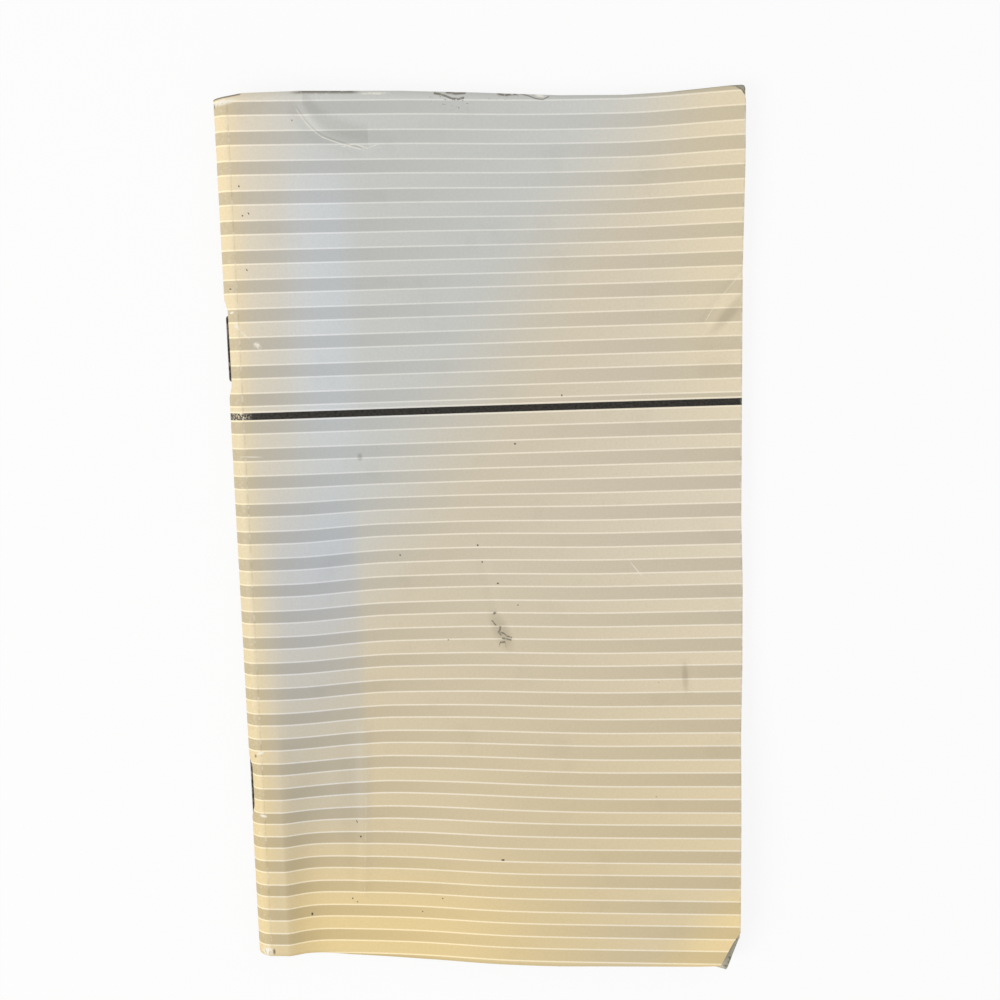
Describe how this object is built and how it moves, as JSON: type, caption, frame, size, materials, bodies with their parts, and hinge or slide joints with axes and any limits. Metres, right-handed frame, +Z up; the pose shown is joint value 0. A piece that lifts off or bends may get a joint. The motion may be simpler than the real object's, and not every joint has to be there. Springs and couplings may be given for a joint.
{
  "type": "stapled booklet",
  "caption": "Saddle-stitched booklet with a striped wrap-round cover, folded paper sheets and wire staples; every leaf turns over at the spine.",
  "frame": {"origin": "middle of the underside of the closed booklet, on the surface it lies on", "axes": "+Z up out of the front cover, +Y towards the top of the page along the spine, +X from the spine to the fore-edge"},
  "size_m": [0.1026, 0.178, 0.0056],
  "materials": {
    "cover_card": "printed coated card, satin, worn at the edges",
    "leaf_paper": "uncoated white paper, matt, slightly yellowed",
    "staple_wire": "round steel wire, dulled and darkened"
  },
  "bodies": {
    "back_and_spine": {"back_cover": "cover_card", "cover_spine": "cover_card", "fold_01": "leaf_paper", "fold_02": "leaf_paper", "fold_03": "leaf_paper", "fold_04": "leaf_paper", "fold_05": "leaf_paper", "fold_06": "leaf_paper", "fold_07": "leaf_paper", "fold_08": "leaf_paper", "fold_09": "leaf_paper", "fold_10": "leaf_paper", "upper_staple": "staple_wire", "lower_staple": "staple_wire"},
    "turning_leaf_20": {"leaf_20": "leaf_paper"},
    "turning_leaf_19": {"leaf_19": "leaf_paper"},
    "turning_leaf_18": {"leaf_18": "leaf_paper"},
    "turning_leaf_17": {"leaf_17": "leaf_paper"},
    "turning_leaf_16": {"leaf_16": "leaf_paper"},
    "turning_leaf_15": {"leaf_15": "leaf_paper"},
    "turning_leaf_14": {"leaf_14": "leaf_paper"},
    "turning_leaf_13": {"leaf_13": "leaf_paper"},
    "turning_leaf_12": {"leaf_12": "leaf_paper"},
    "turning_leaf_11": {"leaf_11": "leaf_paper"},
    "turning_leaf_10": {"leaf_10": "leaf_paper"},
    "turning_leaf_09": {"leaf_09": "leaf_paper"},
    "turning_leaf_08": {"leaf_08": "leaf_paper"},
    "turning_leaf_07": {"leaf_07": "leaf_paper"},
    "turning_leaf_06": {"leaf_06": "leaf_paper"},
    "turning_leaf_05": {"leaf_05": "leaf_paper"},
    "turning_leaf_04": {"leaf_04": "leaf_paper"},
    "turning_leaf_03": {"leaf_03": "leaf_paper"},
    "turning_leaf_02": {"leaf_02": "leaf_paper"},
    "turning_leaf_01": {"leaf_01": "leaf_paper"},
    "turning_front_cover": {"front_cover": "cover_card"}
  },
  "joints": [
    {"name": "open_under_leaf_20", "type": "hinge", "parent": "back_and_spine", "child": "turning_leaf_20", "pos_m": [-0.04794, 0, 0.0028], "axis": [0, -1, 0], "range_deg": [0, 179.98]},
    {"name": "open_under_leaf_19", "type": "hinge", "parent": "turning_leaf_20", "child": "turning_leaf_19", "pos_m": [-0.04794, 0, 0.0028], "axis": [0, -1, 0], "range_deg": [0, 179.98]},
    {"name": "open_under_leaf_18", "type": "hinge", "parent": "turning_leaf_19", "child": "turning_leaf_18", "pos_m": [-0.04794, 0, 0.0028], "axis": [0, -1, 0], "range_deg": [0, 179.98]},
    {"name": "open_under_leaf_17", "type": "hinge", "parent": "turning_leaf_18", "child": "turning_leaf_17", "pos_m": [-0.04794, 0, 0.0028], "axis": [0, -1, 0], "range_deg": [0, 179.98]},
    {"name": "open_under_leaf_16", "type": "hinge", "parent": "turning_leaf_17", "child": "turning_leaf_16", "pos_m": [-0.04794, 0, 0.0028], "axis": [0, -1, 0], "range_deg": [0, 179.98]},
    {"name": "open_under_leaf_15", "type": "hinge", "parent": "turning_leaf_16", "child": "turning_leaf_15", "pos_m": [-0.04794, 0, 0.0028], "axis": [0, -1, 0], "range_deg": [0, 179.98]},
    {"name": "open_under_leaf_14", "type": "hinge", "parent": "turning_leaf_15", "child": "turning_leaf_14", "pos_m": [-0.04794, 0, 0.0028], "axis": [0, -1, 0], "range_deg": [0, 179.98]},
    {"name": "open_under_leaf_13", "type": "hinge", "parent": "turning_leaf_14", "child": "turning_leaf_13", "pos_m": [-0.04794, 0, 0.0028], "axis": [0, -1, 0], "range_deg": [0, 179.98]},
    {"name": "open_under_leaf_12", "type": "hinge", "parent": "turning_leaf_13", "child": "turning_leaf_12", "pos_m": [-0.04794, 0, 0.0028], "axis": [0, -1, 0], "range_deg": [0, 179.98]},
    {"name": "open_under_leaf_11", "type": "hinge", "parent": "turning_leaf_12", "child": "turning_leaf_11", "pos_m": [-0.04794, 0, 0.0028], "axis": [0, -1, 0], "range_deg": [0, 179.98]},
    {"name": "open_under_leaf_10", "type": "hinge", "parent": "turning_leaf_11", "child": "turning_leaf_10", "pos_m": [-0.04794, 0, 0.0028], "axis": [0, -1, 0], "range_deg": [0, 179.98]},
    {"name": "open_under_leaf_09", "type": "hinge", "parent": "turning_leaf_10", "child": "turning_leaf_09", "pos_m": [-0.04794, 0, 0.0028], "axis": [0, -1, 0], "range_deg": [0, 179.98]},
    {"name": "open_under_leaf_08", "type": "hinge", "parent": "turning_leaf_09", "child": "turning_leaf_08", "pos_m": [-0.04794, 0, 0.0028], "axis": [0, -1, 0], "range_deg": [0, 179.98]},
    {"name": "open_under_leaf_07", "type": "hinge", "parent": "turning_leaf_08", "child": "turning_leaf_07", "pos_m": [-0.04794, 0, 0.0028], "axis": [0, -1, 0], "range_deg": [0, 179.98]},
    {"name": "open_under_leaf_06", "type": "hinge", "parent": "turning_leaf_07", "child": "turning_leaf_06", "pos_m": [-0.04794, 0, 0.0028], "axis": [0, -1, 0], "range_deg": [0, 179.98]},
    {"name": "open_under_leaf_05", "type": "hinge", "parent": "turning_leaf_06", "child": "turning_leaf_05", "pos_m": [-0.04794, 0, 0.0028], "axis": [0, -1, 0], "range_deg": [0, 179.98]},
    {"name": "open_under_leaf_04", "type": "hinge", "parent": "turning_leaf_05", "child": "turning_leaf_04", "pos_m": [-0.04794, 0, 0.0028], "axis": [0, -1, 0], "range_deg": [0, 179.98]},
    {"name": "open_under_leaf_03", "type": "hinge", "parent": "turning_leaf_04", "child": "turning_leaf_03", "pos_m": [-0.04794, 0, 0.0028], "axis": [0, -1, 0], "range_deg": [0, 179.98]},
    {"name": "open_under_leaf_02", "type": "hinge", "parent": "turning_leaf_03", "child": "turning_leaf_02", "pos_m": [-0.04794, 0, 0.0028], "axis": [0, -1, 0], "range_deg": [0, 179.98]},
    {"name": "open_under_leaf_01", "type": "hinge", "parent": "turning_leaf_02", "child": "turning_leaf_01", "pos_m": [-0.04794, 0, 0.0028], "axis": [0, -1, 0], "range_deg": [0, 179.98]},
    {"name": "open_under_front_cover", "type": "hinge", "parent": "turning_leaf_01", "child": "turning_front_cover", "pos_m": [-0.04794, 0, 0.0028], "axis": [0, -1, 0], "range_deg": [0, 179.98]}
  ]
}
